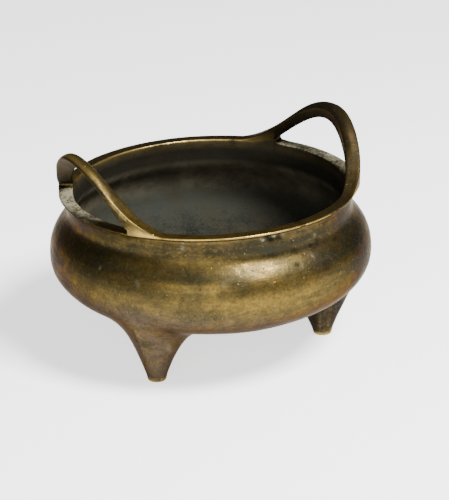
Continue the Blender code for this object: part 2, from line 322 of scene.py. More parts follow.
# The full grid, column by row: inside going up, over the top, outside going down.
rows_in = len(inside_rows)
first_top = rows_in
last_top = rows_in + ROWS_OVER_LIP
rows_out = len(outside_rows)
row_count = rows_in + ROWS_OVER_LIP + 1 + rows_out
radius = np.zeros((column_count, row_count))
height = np.zeros((column_count, row_count))
inside_z = np.repeat(inside_rows[None, :, 1], column_count, axis=0)
lift = ease((inside_z - INSIDE_LIFT_FROM) / (inside_rows[-1, 1] - INSIDE_LIFT_FROM))
inside_z = inside_z + (start_in[:, None] - INSIDE_CLEAR - inside_rows[-1, 1]) * lift
radius[:, :rows_in] = inside_rows[None, :, 0]
height[:, :rows_in] = inside_z
radius[:, first_top:last_top + 1] = top_r
height[:, first_top:last_top + 1] = top_z
radius[:, last_top + 1:] = outside_rows[None, :, 0]
height[:, last_top + 1:] = outside_rows[None, :, 1]
spread = ease((height - CLOSER_FROM) / (LIP_HEIGHT - CLOSER_CLEAR - CLOSER_FROM))
angle = even_angle[:, None] + (close_angle - even_angle)[:, None] * spread
pull = lip_pull(angle, height) + proud_here[:, None] * ease((height - PROUD_FROM) / PROUD_WITHIN)
pull[:, :first_top] = lip_pull(angle, height)[:, :first_top]
pull[:, first_top:last_top + 1] = 0.0
radius = radius + pull

# The feet: three short cones, cast with the bowl, each flaring out of the belly in one sweep and
# standing on a small worn flat. The grid round each is drawn into rings that run down its sides.
FOOT_BASE_RADIUS = 0.0047
FOOT_EDGE = 0.0007
FOOT_TURN = math.radians(4)
FOOT_TAPER = math.radians(20)
FOOT_FLARE_OUT = 0.0235
FOOT_FLARE_IN = 0.0240
FOOT_LOWER_PULL = 0.42
FOOT_UPPER_PULL = 0.30
SOLE_HOLLOW = 0.00025
FOOT_MASK_RINGS = 10.0
RINGS_SOLE = 5
RINGS_EDGE = 3
RINGS_SIDE = 22

position = np.stack([radius * np.cos(angle), radius * np.sin(angle), height], axis=-1)
foot_mask = np.zeros((column_count, row_count))
outer_gone = travelled(outer_line)
underside_r = under_line[::-1, 0]
underside_z = under_line[::-1, 1]
underside_gone = outer_gone[widest:][::-1]
row_gone = np.zeros(row_count)
rings_across = np.arange(-FOOT_REACH, FOOT_REACH + 1)
reach_rows = last_top + 1 + foot_row + rings_across
row_gone[reach_rows] = np.interp(rings_across, [-FOOT_REACH, 0, FOOT_REACH],
                                 [outer_gone[belly_top], outer_gone[foot_point], outer_gone[middle_point]])
for number in range(3):
    facing = HALF_CIRCLE / 2 + FOOT_TURN + number * FULL_CIRCLE / 3
    outward = np.array([math.cos(facing), math.sin(facing)])
    sideways = np.array([-outward[1], outward[0]])
    centre_column = int(np.argmin(np.abs((even_angle - facing + HALF_CIRCLE) % FULL_CIRCLE - HALF_CIRCLE)))
    q, p = np.meshgrid(rings_across, rings_across, indexing="ij")
    ring = np.maximum(np.abs(p), np.abs(q))
    safe = np.maximum(ring, 1)
    turn = np.where(np.abs(p) >= np.abs(q),
                    np.where(p >= 0, np.pi / 4 * q / safe, np.pi - np.pi / 4 * q / safe),
                    np.where(q > 0, np.pi / 2 - np.pi / 4 * p / safe, -np.pi / 2 + np.pi / 4 * p / safe))
    away = outward * np.cos(turn)[..., None] + sideways * np.sin(turn)[..., None]
    flare = (FOOT_FLARE_OUT + FOOT_FLARE_IN) / 2 + (FOOT_FLARE_OUT - FOOT_FLARE_IN) / 2 * np.cos(turn)
    plan_top = outward * FOOT_CIRCLE + away * flare[..., None]
    top_radius = np.linalg.norm(plan_top, axis=-1)
    top_z_here = np.interp(top_radius, underside_r, underside_z)
    slope_here = np.interp(top_radius, underside_r, np.gradient(underside_z) / np.gradient(underside_r))
    outwards_there = plan_top / top_radius[..., None]
    normal = np.concatenate([outwards_there * slope_here[..., None], -np.ones(turn.shape + (1,))], axis=-1)
    normal /= np.linalg.norm(normal, axis=-1)[..., None]
    away3 = np.concatenate([away, np.zeros(turn.shape + (1,))], axis=-1)
    axis3 = np.array([outward[0] * FOOT_CIRCLE, outward[1] * FOOT_CIRCLE, 0.0])
    top_point = np.concatenate([plan_top, top_z_here[..., None]], axis=-1)
    base_point = axis3 + away3 * FOOT_BASE_RADIUS + (0.0, 0.0, FOOT_EDGE)
    reach = np.linalg.norm(top_point - base_point, axis=-1)[..., None]
    along_belly = away3 - normal * (away3 * normal).sum(-1)[..., None]
    along_belly /= np.linalg.norm(along_belly, axis=-1)[..., None]
    leaning = np.array([0.0, 0.0, math.cos(FOOT_TAPER)]) + away3 * math.sin(FOOT_TAPER)
    lower = base_point + leaning * reach * FOOT_LOWER_PULL
    upper = top_point - along_belly * reach * FOOT_UPPER_PULL
    t = np.clip((ring - RINGS_SOLE - RINGS_EDGE) / RINGS_SIDE, 0.0, 1.0)[..., None]
    side = (1 - t) ** 3 * base_point + 3 * (1 - t) ** 2 * t * lower
    side = side + 3 * (1 - t) * t ** 2 * upper + t ** 3 * top_point
    edge_turn = np.clip((ring - RINGS_SOLE) / RINGS_EDGE, 0.0, 1.0) * (np.pi / 2 - FOOT_TAPER)
    sole_radius = np.where(ring <= RINGS_SOLE, (FOOT_BASE_RADIUS - FOOT_EDGE) * ring / RINGS_SOLE,
                           FOOT_BASE_RADIUS - FOOT_EDGE + FOOT_EDGE * np.sin(edge_turn) / np.cos(FOOT_TAPER))
    sole_z = np.where(ring <= RINGS_SOLE, SOLE_HOLLOW * (1 - ring / RINGS_SOLE),
                      FOOT_EDGE * (1 - np.cos(edge_turn)) / (1 - math.sin(FOOT_TAPER)))
    sole = axis3 + away3 * sole_radius[..., None] + np.array([0.0, 0.0, 1.0]) * sole_z[..., None]
    last_ring = RINGS_SOLE + RINGS_EDGE + RINGS_SIDE
    on_foot = np.where((ring <= RINGS_SOLE + RINGS_EDGE)[..., None], sole, side)
    # Past the flare the rings ease back to the plain columns and rows, along the belly's surface.
    back = ((ring - last_ring) / (FOOT_REACH - last_ring)).clip(0.0, 1.0)
    top_angle = np.arctan2(plan_top[..., 1], plan_top[..., 0])
    columns_away = q * FOOT_REACH / safe
    rows_away = p * FOOT_REACH / safe
    column_angle = np.interp(columns_away, rings_across,
                             np.unwrap(even_angle[(centre_column + rings_across) % column_count]))
    top_angle = column_angle + (top_angle - column_angle + HALF_CIRCLE) % FULL_CIRCLE - HALF_CIRCLE
    top_gone = np.interp(top_radius, underside_r, underside_gone)
    row_there = np.interp(-rows_away, rings_across, row_gone[reach_rows])
    belly_angle = top_angle + (column_angle - top_angle) * back
    belly_gone = top_gone + (row_there - top_gone) * back
    belly_r = np.interp(belly_gone, outer_gone, outer_line[:, 0])
    belly_z = np.interp(belly_gone, outer_gone, outer_line[:, 1])
    on_belly = np.stack([belly_r * np.cos(belly_angle), belly_r * np.sin(belly_angle), belly_z], axis=-1)
    placed = np.where((ring <= last_ring)[..., None], on_foot, on_belly)
    columns = (centre_column + q) % column_count
    rows = last_top + 1 + foot_row - p
    position[columns, rows] = placed
    foot_mask[columns, rows] = np.clip((last_ring - ring) / FOOT_MASK_RINGS, 0.0, 1.0)

# The straps of the handles: the sheet over each and the sheet under it share their two long edges.
stations = closer_at_ends(STRAP_STATIONS)


def strap_points(pair, crown):
    """The sheets over and under one strap. Across it, the section runs from its inner to its outer
    side; the underside rises outwards, so the outer edge is thin."""
    top_line = at_shares(joined_at_crown(pair[0]["top_line"], pair[1]["top_line"]), stations)
    under_path = at_shares(joined_at_crown(pair[0]["under_line"], pair[1]["under_line"]), stations)
    upwards = top_line - under_path
    thick = np.linalg.norm(upwards, axis=1)
    upwards /= thick[:, None]
    gone = travelled(under_path)
    rounding = STRAP_ROUND * ease(np.minimum(gone, gone[::-1]) / GAP_FLOOR_FADE)
    share = np.clip(top_line[:, 1] / HANDLE_RISE, 0, 1)
    at_end = np.interp(stations, (0.0, 1.0), (share[0], share[-1]))
    edge_depth = thick + (CROWN_EDGE - thick) * ease((share - at_end) / EDGE_GROWTH)
    edge_depth = np.maximum(edge_depth, 2.05 * STRAP_ROUND)
    rise = np.maximum(thick - edge_depth, 0.0)
    turn = crown + (top_line[:, 0] + under_path[:, 0]) / 2 / MIDDLE_RADIUS
    inner = MOUTH_RADIUS + LIP_OVAL * np.cos(turn) ** 2
    outer = LIP_RADIUS + LIP_OVAL * np.cos(turn) ** 2 + HANDLE_PROUD * ease(share / STRAP_GROWTH)
    over_r, over_v = over(inner, outer, thick, rounding, rise + rounding, MOUTH_ROUNDING, STRAP_ROUND,
                          shares_over)
    below_r, below_v = over(inner, outer, rounding, 0.0, 0.0, rounding, rounding, shares_over)
    below_v = rounding[:, None] - below_v + rise[:, None] * (
        below_r - inner[:, None]) / (outer - inner)[:, None]
    fall = ease((share - at_end) / DOME_GROWTH)[:, None]
    sheets = []
    for r, v in ((over_r, over_v), (below_r, below_v)):
        out = (r - inner[:, None]) / (outer - inner)[:, None]
        low = rise[:, None] * out
        drop = fall * (CROWN_DROP_IN * np.maximum(1 - 2 * out, 0) ** 2
                       + CROWN_DROP_OUT * np.maximum(2 * out - 1, 0) ** 2)
        v = low + (v - low) * (1 - drop / (thick[:, None] - low))
        x = under_path[:, 0][:, None] + upwards[:, 0][:, None] * v
        z = under_path[:, 1][:, None] + upwards[:, 1][:, None] * v
        here = crown + x / MIDDLE_RADIUS
        sheets.append(np.stack([r * np.cos(here), r * np.sin(here), LIP_HEIGHT + z], axis=-1))
    return sheets


# One skin: the bowl's grid with its two poles, the raised lip at the gaps' ends, and the straps.
grid_index = np.arange(column_count * row_count).reshape(column_count, row_count)
points = [position.reshape(-1, 3)]
used = position.size // 3
raised_index = {}
end_top = LIP_HEIGHT + np.array([leg["end_top"] for pair in legs for leg in pair])
end_start = LIP_HEIGHT + GAP_END_RADIUS
end_r, end_z = over(inner_radius[gap_ends], outer_radius[gap_ends], end_top, end_start, end_start,
                    MOUTH_ROUNDING, STRAP_ROUND, shares_over)
for number, column in enumerate(gap_ends):
    line = np.stack([end_r[number] * np.cos(close_angle[column]), end_r[number] * np.sin(close_angle[column]),
                     end_z[number]], axis=-1)
    index = np.concatenate([[grid_index[column, first_top]], used + np.arange(ROWS_OVER_LIP - 1),
                            [grid_index[column, last_top]]])
    points.append(line[1:-1])
    used += ROWS_OVER_LIP - 1
    raised_index[int(column)] = index


def quads(index):
    """Four-cornered faces over a grid of vertex numbers, facing along (second way) x (first way)."""
    return np.stack([index[:-1, :-1], index[:-1, 1:], index[1:, 1:], index[1:, :-1]], axis=-1).reshape(-1, 4)


faces = []
closed = np.concatenate([grid_index, grid_index[:1]])
faces.append(quads(closed[:, :first_top + 1]))
faces.append(quads(closed[:, last_top:]))
segment_ends = list(gap_ends) + [column_count]
for number, (low, high) in enumerate(zip(segment_ends, segment_ends[1:])):
    strip = closed[low:high + 1, first_top:last_top + 1].copy()
    if number % 2 == 1:
        strip[0] = raised_index[int(low)]
        strip[-1] = raised_index[int(high % column_count)]
    faces.append(quads(strip))
for crown, pair, low, high in zip(crowns, legs, (0, int(gap_ends[2])), (int(gap_ends[1]), int(gap_ends[3]))):
    over_points, below_points = strap_points(pair, crown)
    over_index = np.zeros((STRAP_STATIONS + 1, ROWS_OVER_LIP + 1), int)
    below_index = np.zeros_like(over_index)
    inner_count = STRAP_STATIONS - 1
    over_index[1:-1] = used + np.arange(inner_count * (ROWS_OVER_LIP + 1)).reshape(inner_count, -1)
    points.append(over_points[1:-1].reshape(-1, 3))
    used += inner_count * (ROWS_OVER_LIP + 1)
    below_index[1:-1, 1:-1] = used + np.arange(inner_count * (ROWS_OVER_LIP - 1)).reshape(inner_count, -1)
    points.append(below_points[1:-1, 1:-1].reshape(-1, 3))
    used += inner_count * (ROWS_OVER_LIP - 1)
    below_index[1:-1, 0] = over_index[1:-1, 0]
    below_index[1:-1, -1] = over_index[1:-1, -1]
    over_index[0] = raised_index[low]
    over_index[-1] = raised_index[high]
    below_index[0] = grid_index[low, first_top:last_top + 1]
    below_index[-1] = grid_index[high, first_top:last_top + 1]
    faces.append(quads(over_index))
    faces.append(quads(below_index)[:, ::-1])
inner_pole = used
outer_pole = used + 1
points.append(np.array([[0.0, 0.0, inside_line[0, 1]], [0.0, 0.0, UNDERSIDE_HEIGHT]]))
points = np.concatenate(points)
faces = np.concatenate(faces)
inner_fan = np.stack([np.full(column_count, inner_pole), closed[:-1, 0], closed[1:, 0]], axis=-1)
outer_fan = np.stack([closed[:-1, -1], np.full(column_count, outer_pole), closed[1:, -1]], axis=-1)
face_list = faces.tolist() + inner_fan.tolist() + outer_fan.tolist()

mesh = bpy.data.meshes.new("incense_burner_casting")
mesh.from_pydata(points, [], face_list)
mesh.update()

# The surface as cast and worn: hand-dressed unevenness, a few casting pits and nicks, and where the
# patina is rubbed through, stained or kept dark. There is also painted shade on the neck and the belly's
# sides, and a painted highlight on the shoulder. Each place below is given by its azimuth in degrees,
# its height, half its width and half its height in millimetres, and its strength.
# Rubbed golden wear. The patches at 262 and 264 degrees, on the shoulder facing the right light, also paint
# its highlight.
GOLD_AND_HIGHLIGHT_PATCHES = ((249, 70, 14, 4, 0.55), (220, 68, 13, 5, 0.45), (250, 53, 44, 4.5, 0.55),
                (264, 50, 15, 6, 0.7), (262, 64, 9, 6, 0.6), (203, 50, 20, 5, 0.6),
                (289, 45, 12, 4, 0.5), (300, 46, 9, 4, 0.6), (232, 60, 20, 3, 0.35),
                (218, 88, 18, 8, 0.8), (255, 82, 60, 3.0, 0.8), (192, 106, 24, 8, 0.55))
DARK_PATCHES = ((263, 74, 9, 3.5, 0.9), (272, 71, 9, 3.5, 0.8), (281, 72, 8, 4, 0.7),
                (287, 63, 5, 7, 0.6), (304, 62, 15, 15, 0.8), (237, 64.6, 5, 4, 0.5),
                (239, 58, 4, 8, 0.5), (254, 57, 5, 3, 0.35), (196, 63, 13, 7, 0.45),
                (215, 72, 26, 4, 0.35), (251, 62, 5, 5, 0.3))
# Painted shade: deep olive laid on the belly's sides, where they turn away from the light.
SHADE_PATCHES = ((188, 66, 24, 14, 0.45), (196, 48, 10, 10, 0.35), (312, 60, 20, 22, 0.70),
                (334, 45, 26, 20, 1.0), (334, 14, 22, 24, 1.2), (2, 55, 26, 24, 0.8),
                (236, 75, 60, 5, 0.85), (60, 55, 60, 22, 0.5), (130, 60, 40, 20, 0.5),
                (316, 30, 12, 8, 0.4))
PURPLE_PATCHES = ((214, 41, 24, 7, 1.0), (251, 38, 34, 6, 1.0), (289, 41, 16, 6, 0.6),
                  (190, 42, 16, 8, 0.8), (262, 77, 30, 3.5, 0.35), (287, 67, 9, 9, 0.6),
                  (258, 66, 14, 5, 0.25), (302, 74, 14, 4, 0.5))
MARKS = ((263.6, 78.5, 0.9, 0.45, 1.0), (268.4, 79.7, 0.7, 0.5, 0.9), (271.6, 79.2, 0.6, 0.6, 0.7),
         (282.6, 81.0, 0.7, 0.5, 0.9), (217.6, 60.2, 0.6, 1.8, 0.7), (232.7, 77.0, 1.0, 0.5, 0.9),
         (200.4, 62.2, 0.7, 0.7, 0.8), (287.5, 74.0, 0.7, 0.8, 0.6), (284.0, 66.0, 0.7, 0.9, 0.5),
         (248.0, 61.0, 0.7, 1.0, 0.5), (9.0, 84.0, 0.9, 0.9, 0.6), (224.0, 21.0, 0.7, 3.0, 0.4))
PITS = ((265.6, 79.6, 1.3, 0.9, 0.9), (267.2, 78.2, 1.5, 0.8, 0.9), (270.4, 78.6, 1.3, 1.0, 0.8),
        (281.4, 81.3, 1.1, 0.8, 0.8), (279.6, 79.0, 0.9, 0.7, 0.35), (262.0, 64.0, 0.9, 0.7, 0.3),
        (276.5, 64.5, 0.9, 0.9, 0.4), (285.0, 70.5, 1.2, 1.0, 0.5), (289.0, 72.0, 1.2, 1.0, 0.5),
        (239.3, 60.5, 0.6, 2.2, 0.25), (232.9, 77.0, 0.9, 0.8, 0.2), (200.4, 62.2, 0.9, 0.8, 0.2),
        (254.0, 66.5, 0.8, 0.8, 0.2), (243.0, 49.0, 0.9, 0.9, 0.25), (271.0, 45.0, 0.8, 0.8, 0.2),
        (61.0, 55.0, 1.0, 1.2, 0.2), (120.0, 62.0, 1.0, 1.0, 0.25), (16.0, 48.0, 1.1, 1.1, 0.25),
        (150.0, 41.0, 1.2, 1.0, 0.25))
MILLIMETRE = 0.001
DRESSING_DEPTH = 0.00010
SKIN_DEPTH = 0.000022
FOOT_UNEVENNESS = 0.00012
PALE_FADE = 0.0040
NECK_SHADE_FROM = 0.0665
NECK_SHADE_FADE = 0.0075
LIP_CLEAR_FROM = 0.0785
LIP_CLEAR_FADE = 0.0020
LIP_BROWN_FROM = 0.0793
LIP_BROWN_FADE = 0.0028
SOLE_PLAIN_TO = 0.0004
SOLE_FADE = 0.0020
GIRTH_FOR_TEXTURE = 0.075
WAVES = np.random.default_rng(24)


def waves(place, shortest, longest, count):
    """Smooth unevenness: the mean of plane sine waves of random heading, length and phase."""
    heading = WAVES.normal(size=(count, 3))
    heading /= np.linalg.norm(heading, axis=1)[:, None]
    length = WAVES.uniform(shortest, longest, count)
    start = WAVES.uniform(0, FULL_CIRCLE, count)
    return np.sin(FULL_CIRCLE * (place @ heading.T) / length + start).mean(axis=1) * math.sqrt(count / 2)


def spots(patches):
    """Sum of soft round patches, each exp(-d^2), with d measured along the girth and the height."""
    total = np.zeros(len(points))
    for facing, level, half_width, half_height, strength in patches:
        round_by = (azimuth - math.radians(facing) + HALF_CIRCLE) % FULL_CIRCLE - HALF_CIRCLE
        along_girth = round_by * girth / (half_width * MILLIMETRE)
        along_height = (points[:, 2] - level * MILLIMETRE) / (half_height * MILLIMETRE)
        total += strength * np.exp(-(along_girth ** 2 + along_height ** 2))
    return total


azimuth = np.arctan2(points[:, 1], points[:, 0])
girth = np.hypot(points[:, 0], points[:, 1])
normals = np.zeros(len(points) * 3)
mesh.vertices.foreach_get("normal", normals)
normals = normals.reshape(-1, 3)

# On the grid: soot inside, the rubbed edges of the lip, and the pale rough lip under the handles.
row_number = np.arange(row_count)
below_mouth = np.clip((first_top + 2 - row_number) / 5.0, 0.0, 1.0)
outer_rub = np.exp(-((row_number - last_top + 0.5) / 2.6) ** 2)
inner_rub = np.exp(-((row_number - first_top - 2.5) / 2.0) ** 2)
soot = np.repeat(below_mouth[None], column_count, axis=0)
at_back = ease((np.sin(close_angle) + 0.15) / 0.6)[:, None]
rub = np.maximum(outer_rub[None] * (1.0 - 0.55 * at_back), inner_rub[None] * (0.12 + 0.75 * at_back))
floor_here = np.where(in_gap, ease(np.minimum(into_gap, PALE_FADE) / PALE_FADE), 0.0)
on_floor = ((row_number > first_top + 1) & (row_number < last_top - 2)).astype(float)
pale_right = 0.45 + 0.55 * ease(close_angle / 0.3 + 0.5)
pale_left = 1.0 - 0.85 * ease((np.degrees(close_angle) - 184) / 16)
pale_part = np.where(np.abs(close_angle) < 1.2, pale_right, pale_left)
raw = (floor_here * pale_part)[:, None] * on_floor[None]
rub = rub * (1 - 0.75 * in_gap[:, None]) * (1 - 0.8 * climb[:, None])
foot_edge = np.clip(1 - np.abs(position[:, :, 2] - FOOT_EDGE * 0.5) / 0.0011, 0, 1) * (foot_mask > 0.9)
rub = np.maximum(rub, foot_edge)

# Across the straps: a rubbed ridge along the outer top edge, and painted shade on the inner and the outer
# side.
over_place = np.arange(ROWS_OVER_LIP + 1)
from_outside = over_place - ROWS_OVER_LIP
raised_ridge = np.exp(-((from_outside[1:-1] + 3) / 2.5) ** 2)
raised_rub = 0.15 * np.repeat(raised_ridge[None], 4, axis=0)
strap_ridge = 0.8 * np.exp(-((from_outside + 5.5) / 1.6) ** 2)
strap_inner = 0.2 * np.exp(-((over_place - 5) / 2.2) ** 2)
strap_shade = np.clip((8.0 - over_place) / 4.0, 0.0, 1.0)
# Painted shade on the straps' outer sides and on the outer faces where the lip rises into them.
strap_outer_shade = 0.85 * np.clip((from_outside + 6.0) / 2.0, 0.0, 1.0)
grid_outer_shade = (np.clip((row_number - last_top + 6.0) / 2.0, 0.0, 1.0)
              * np.clip((last_top + 6.0 - row_number) / 4.0, 0.0, 1.0))
grid_outer_shade = 0.85 * climb[:, None] * grid_outer_shade[None]


def along_strap(across):
    """The same values across each station of a strap, in the order of its points."""
    return np.repeat(across[None], STRAP_STATIONS - 1, axis=0).ravel()


strap_rub = along_strap(np.maximum(strap_ridge, strap_inner))
strap_rub = [strap_rub * 0.15, strap_rub]
strap_over = (STRAP_STATIONS - 1) * (ROWS_OVER_LIP + 1)
strap_below = (STRAP_STATIONS - 1) * (ROWS_OVER_LIP - 1)
NOWHERE = np.zeros((column_count, row_count))
NO_POLE = (0.0, 0.0)


def over_all(grid, raised_lines, strap_top, strap_under, poles):
    """One value for every vertex, in the order that the skin's points were put together in."""
    parts = [grid.ravel(), np.broadcast_to(raised_lines, (4, ROWS_OVER_LIP - 1)).ravel()]
    for handle in range(2):
        this_strap = strap_top[handle] if isinstance(strap_top, list) else strap_top
        parts += [np.broadcast_to(this_strap, strap_over), np.full(strap_below, strap_under)]
    return np.concatenate(parts + [np.array(poles)])


heights = points[:, 2]
soot_all = over_all(soot, 0.0, 0.0, 0.45, (1.0, 0.0))
outside_all = 1.0 - soot_all
foot_all = over_all(foot_mask, 0.0, 0.0, 0.0, NO_POLE)
darker_right = np.maximum(0.42 + 0.58 * np.cos(azimuth - math.radians(20)), 0.0)
# Painted shade on the straps: green-black on their inner sides, and at 0.6 on their undersides.
strap_painted_shade = over_all(NOWHERE, 0.0, 0.85 * along_strap(strap_shade), 0.6, NO_POLE)
# Painted shade under the lip: deep olive on the neck all round, cleared again near the lip.
neck_shade = 0.80 * ease((heights - NECK_SHADE_FROM) / NECK_SHADE_FADE)
shade_all = np.maximum(spots(SHADE_PATCHES), neck_shade) * outside_all
shade_all *= 1.0 - 0.8 * ease((heights - LIP_CLEAR_FROM) / LIP_CLEAR_FADE)
outer_side_shade = over_all(grid_outer_shade, strap_outer_shade[1:-1], along_strap(strap_outer_shade), 0.0, NO_POLE)
pit_all = spots(PITS) * outside_all
worn = {
    "soot": soot_all,
    "rub": over_all(rub, raised_rub, strap_rub, 0.0, NO_POLE),
    "raw": over_all(raw, 0.0, 0.0, 0.0, NO_POLE),
    "foot": foot_all,
    "upper": ease((heights - LIP_BROWN_FROM) / LIP_BROWN_FADE) * darker_right,
    "gold": spots(GOLD_AND_HIGHLIGHT_PATCHES) * outside_all,
    "dark": np.maximum(spots(DARK_PATCHES) * outside_all, strap_painted_shade),
    "purple": spots(PURPLE_PATCHES) * outside_all,
    "deep": np.maximum(shade_all, outer_side_shade),
    "pit": pit_all,
    "mark": spots(MARKS) * outside_all,
}

# Distance down the surface, so that bands and streaks follow the bowl's girth and slope.
middle_line = np.stack([radius, height]).mean(axis=1)
along_rows = np.concatenate([[0.0], np.cumsum(np.hypot(*np.diff(middle_line, axis=1)))])
over_top = along_rows[first_top:last_top + 1]
way_all = over_all(np.repeat(along_rows[None], column_count, axis=0), over_top[1:-1], along_strap(over_top),
                   over_top[0], (0.0, along_rows[-1]))
turned = np.stack([np.cos(azimuth) * GIRTH_FOR_TEXTURE, np.sin(azimuth) * GIRTH_FOR_TEXTURE, way_all], 1)

dressing = waves(points, 0.022, 0.060, 14)
skin = waves(points, 0.0045, 0.010, 24)
push = DRESSING_DEPTH * (dressing - 1.6) + SKIN_DEPTH * (skin - 1.5) - MILLIMETRE * pit_all
push -= FOOT_UNEVENNESS * (1 + waves(points, 0.012, 0.03, 10)) * foot_all * (heights > 0.002)
above_sole = ease((heights - SOLE_PLAIN_TO) / SOLE_FADE)
points = points + normals * (push * above_sole)[:, None]
mesh.vertices.foreach_set("co", points.ravel())
mesh.update()
mesh.shade_smooth()
for name, values in worn.items():
    mesh.attributes.new(name, "FLOAT", "POINT").data.foreach_set("value", values.astype(np.float32))
turned_data = mesh.attributes.new("turned", "FLOAT_VECTOR", "POINT").data
turned_data.foreach_set("vector", turned.ravel().astype(np.float32))
casting = bpy.data.objects.new("incense_burner_casting", mesh)
bpy.context.scene.collection.objects.link(casting)

# Its finish: bronze under a worn olive-brown patina. It is rubbed golden on the belly's fullest
# part and on every edge, with a painted highlight on the shoulder and painted shade on the neck, the
# belly's sides and the straps, greenish black inside, and brownish purple low down and on the feet.
OLIVE = (0.0440, 0.0360, 0.0150, 1.0)
GOLDEN = (0.142, 0.093, 0.0225, 1.0)
DEEP_OLIVE = (0.0120, 0.0104, 0.0056, 1.0)
GREEN_BLACK = (0.016, 0.0165, 0.0105, 1.0)
PURPLE_BROWN = (0.064, 0.0460, 0.0350, 1.0)
DARK_BROWN = (0.0240, 0.0190, 0.0108, 1.0)
RED_BROWN = (0.053, 0.0340, 0.0170, 1.0)
SOOT = (0.0240, 0.0265, 0.0215, 1.0)
NECK_SOOT = (0.0050, 0.0050, 0.0042, 1.0)
BROWN_SOOT_AND_LIGHT = (0.0850, 0.0740, 0.0480, 1.0)
ASH = (0.0060, 0.0075, 0.0064, 1.0)
RAW_CASTING = (0.185, 0.172, 0.115, 1.0)
PIT_BLACK = (0.0045, 0.0045, 0.0035, 1.0)
PALE_SPECK = (0.230, 0.215, 0.150, 1.0)
BARE_BRASS = (0.420, 0.290, 0.090, 1.0)

bronze = bpy.data.materials.new("worn_bronze")
bronze.use_nodes = True
tree = bronze.node_tree
shader = tree.nodes["Principled BSDF"]


def add(kind, inputs, **settings):
    """A shader node with its settings, and each input linked to a socket or set to a value."""
    made = tree.nodes.new(kind)
    for name, value in settings.items():
        setattr(made, name, value)
    for name, value in inputs.items():
        if isinstance(value, bpy.types.NodeSocket):
            tree.links.new(value, made.inputs[name])
        else:
            made.inputs[name].default_value = value
    return made


def noise(vector, scale, detail=4.0, roughness=0.55, distortion=0.0):
    """Cloudy noise between 0 and 1."""
    inputs = {"Vector": vector, "Scale": scale, "Detail": detail, "Roughness": roughness,
              "Distortion": distortion}
    return add("ShaderNodeTexNoise", inputs).outputs["Fac"]


def between(value, low, high, to_low=0.0, to_high=1.0):
    """The value's place between low and high, with soft ends, as a number from to_low to to_high."""
    inputs = {"Value": value, "From Min": low, "From Max": high, "To Min": to_low, "To Max": to_high}
    return add("ShaderNodeMapRange", inputs, interpolation_type="SMOOTHSTEP").outputs["Result"]


def sum_up(first, second, operation="ADD", hold=False):
    """Two numbers added, or put together by another operation."""
    return add("ShaderNodeMath", {0: first, 1: second}, operation=operation, use_clamp=hold).outputs[0]


def colours(share, first, second):
    """The first colour, going over to the second by a share."""
    return add("ShaderNodeMix", {"Factor": share, 6: first, 7: second}, data_type="RGBA").outputs[2]


def attribute(name):
    """A number kept on the vertices."""
    return add("ShaderNodeAttribute", {}, attribute_name=name).outputs["Fac"]


def stretched(vector, x, y, z):
    """Coordinates scaled along their three axes."""
    return add("ShaderNodeMapping", {"Vector": vector, "Scale": (x, y, z)}).outputs["Vector"]


own = add("ShaderNodeTexCoord", {}).outputs["Object"]
round_and_down = add("ShaderNodeAttribute", {}, attribute_name="turned").outputs["Vector"]
level = add("ShaderNodeSeparateXYZ", {"Vector": own}).outputs["Z"]
clouds = noise(own, 38.0, 5.0, 0.6, 0.4)
mottles = noise(own, 130.0, 5.0, 0.62, 0.6)
grains = noise(own, 900.0, 3.0, 0.6)
bands = noise(stretched(round_and_down, 9.0, 9.0, 210.0), 1.0, 4.0, 0.6, 0.1)
rubbing = noise(stretched(round_and_down, 55.0, 55.0, 520.0), 1.0, 4.0, 0.65, 0.2)
streaks = noise(stretched(own, 330.0, 330.0, 34.0), 1.0, 4.0, 0.62)

# Outside: rubbed golden with a painted highlight, painted shade in deep olive, purplish brown low down, then
# fine wear, flecks, and dark stains with painted shade on the straps.
golden_and_highlight_share = sum_up(sum_up(clouds, bands), sum_up(mottles, rubbing))
golden_and_highlight_share = sum_up(between(golden_and_highlight_share, 1.74, 2.46), attribute("gold"), hold=True)
patina = colours(golden_and_highlight_share, OLIVE, GOLDEN)
# Painted shade in deep olive, patchy, on the neck, the belly's sides and the straps' outer sides.
shade_patchy = between(sum_up(mottles, bands), 0.75, 1.35, 1.0, 0.45)
shade_share = sum_up(attribute("deep"), shade_patchy, "MULTIPLY", True)
patina = colours(shade_share, patina, DEEP_OLIVE)
low_down = sum_up(between(level, 0.048, 0.030), attribute("purple"), "MAXIMUM")
low_down = sum_up(low_down, attribute("foot"), "MAXIMUM")
low_down = sum_up(low_down, between(sum_up(mottles, streaks), 0.62, 1.08), "MULTIPLY")
low_down = sum_up(low_down, between(shade_share, 0.0, 1.0, 0.85, 0.20), "MULTIPLY", True)
patina = colours(low_down, patina, PURPLE_BROWN)
fine_wear = between(noise(own, 310.0, 6.0, 0.72), 0.44, 0.62, 0.0, 0.30)
patina = colours(fine_wear, patina, DEEP_OLIVE)
flecks = between(noise(stretched(own, 520.0, 520.0, 800.0), 1.0, 4.0, 0.7, 0.8), 0.57, 0.66, 0.0, 0.42)
patina = colours(flecks, patina, GOLDEN)
patina = colours(between(grains, 0.44, 0.62, 0.0, 0.26), patina, DEEP_OLIVE)
brown = colours(between(clouds, 0.52, 0.68), DARK_BROWN, RED_BROWN)
brown_share = sum_up(attribute("upper"), between(mottles, 0.25, 0.60, 1.15, 0.75), "MULTIPLY", True)
patina = colours(brown_share, patina, brown)
# Green-black for the dark stains of the patches and for the painted shade on the straps.
stain_and_shade_share = sum_up(attribute("dark"), between(mottles, 0.38, 0.66, 0.35, 1.0), "MULTIPLY", True)
stain_and_shade_share = sum_up(stain_and_shade_share, between(sum_up(clouds, mottles), 0.92, 0.70, 0.0, 0.28), "ADD", True)
patina = colours(stain_and_shade_share, patina, GREEN_BLACK)

